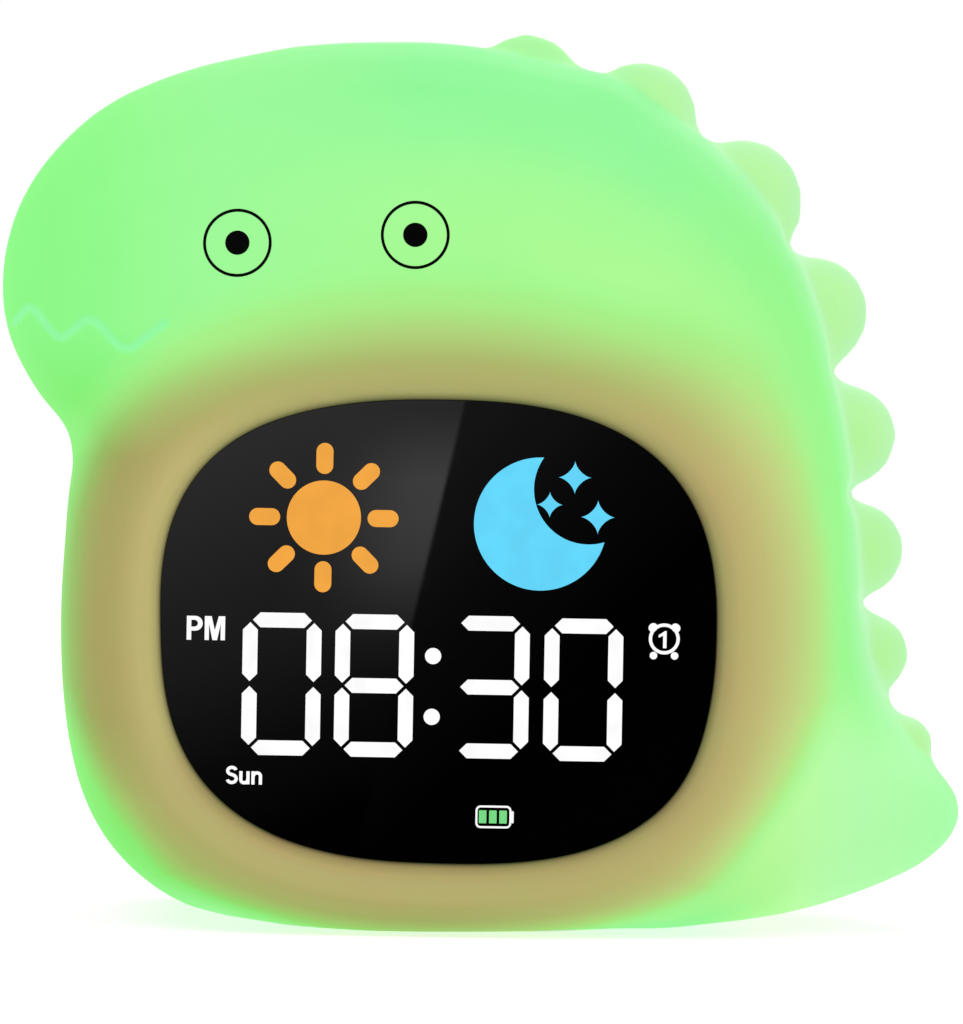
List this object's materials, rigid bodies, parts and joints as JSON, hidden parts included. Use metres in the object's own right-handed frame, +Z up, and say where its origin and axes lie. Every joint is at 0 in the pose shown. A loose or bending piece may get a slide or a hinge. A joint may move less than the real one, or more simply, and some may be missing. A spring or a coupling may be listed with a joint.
{
  "type": "children's alarm clock with night light",
  "caption": "Free-standing children's alarm clock and night light: a clock core with a wide display inside a translucent silicone skin shaped as a small dinosaur.",
  "frame": {"origin": "centre of the bounding box at the level of the feet", "axes": "+X towards the tail, seen from the front; +Z up; the display faces -Y"},
  "size_m": [0.1402, 0.088, 0.1284],
  "materials": {
    "skin": "matte translucent silicone, glowing",
    "print": "black print",
    "lens": "polished smoked acrylic",
    "tape": "foam tape",
    "film": "diffusing film",
    "block": "white moulded reflector",
    "board": "green solder mask",
    "board_white": "white solder mask",
    "led": "clear resin over phosphor",
    "housing": "fine satin moulding",
    "panel_key": "satin moulding",
    "base": "fine satin moulding",
    "foot": "moulded rubber",
    "chip": "moulded epoxy",
    "switch": "moulded nylon",
    "plunger": "moulded acetal",
    "sensor": "plated tube",
    "ribbon": "flat cable",
    "foam": "closed-cell foam",
    "basket": "black zinc",
    "cone": "pressed paper",
    "magnet": "ground steel cup",
    "cloth": "dust cloth",
    "cradle": "moulded",
    "cell": "shrink-wrapped can",
    "lead": "insulated wire",
    "socket": "plated shell",
    "tongue": "moulded nylon",
    "screw": "zinc plated",
    "slider": "satin moulding"
  },
  "bodies": {
    "root": {"silicone_skin": "skin", "eye_prints": "print", "display_lens": "lens", "lens_tape": "tape", "display_diffuser": "film", "display_block": "block", "display_board": "board", "display_leds": "led", "front_housing": "housing", "rear_housing": "housing", "base_plate": "base", "rubber_feet": "foot", "main_board": "board", "board_chips": "chip", "switch_bodies": "switch", "tap_sensor": "sensor", "display_cable": "ribbon", "speaker_gasket": "foam", "speaker_frame": "basket", "speaker_cone": "cone", "speaker_magnet": "magnet", "grille_cloth": "cloth", "battery_cradle": "cradle", "battery_cell": "cell", "battery_leads": "lead", "speaker_leads": "lead", "lamp_leads": "lead", "top_lamp_board": "board_white", "left_lamp_board": "board_white", "right_lamp_board": "board_white", "lamp_chips": "led", "usb_shell": "socket", "usb_tongue": "tongue", "power_switch_body": "socket", "housing_screws": "screw", "base_screws": "screw", "board_screws": "screw", "display_screws": "screw", "lamp_screws": "screw"},
    "set_button": {"set_key": "panel_key", "set_plunger": "plunger"},
    "alarm_button": {"alarm_key": "panel_key", "alarm_plunger": "plunger"},
    "sound_button": {"sound_key": "panel_key", "sound_plunger": "plunger"},
    "light_button": {"light_key": "panel_key", "light_plunger": "plunger"},
    "up_button": {"up_key": "panel_key", "up_plunger": "plunger"},
    "down_button": {"down_key": "panel_key", "down_plunger": "plunger"},
    "power_switch": {"power_slider": "slider", "switch_lever": "slider"}
  },
  "joints": [
    {"name": "set_press", "type": "slide", "parent": "root", "child": "set_button", "axis": [0, -1, 0], "range_m": [0, 0.0005], "stiffness_N_per_m": 400, "springref_m": -0.0005},
    {"name": "alarm_press", "type": "slide", "parent": "root", "child": "alarm_button", "axis": [0, -1, 0], "range_m": [0, 0.0005], "stiffness_N_per_m": 400, "springref_m": -0.0005},
    {"name": "sound_press", "type": "slide", "parent": "root", "child": "sound_button", "axis": [0, -1, 0], "range_m": [0, 0.0005], "stiffness_N_per_m": 400, "springref_m": -0.0005},
    {"name": "light_press", "type": "slide", "parent": "root", "child": "light_button", "axis": [0, -1, 0], "range_m": [0, 0.0005], "stiffness_N_per_m": 400, "springref_m": -0.0005},
    {"name": "up_press", "type": "slide", "parent": "root", "child": "up_button", "axis": [0, -1, 0], "range_m": [0, 0.0005], "stiffness_N_per_m": 400, "springref_m": -0.0005},
    {"name": "down_press", "type": "slide", "parent": "root", "child": "down_button", "axis": [0, -1, 0], "range_m": [0, 0.0005], "stiffness_N_per_m": 400, "springref_m": -0.0005},
    {"name": "power_slide", "type": "slide", "parent": "root", "child": "power_switch", "axis": [1, 0, 0], "range_m": [0, 0.002]}
  ]
}
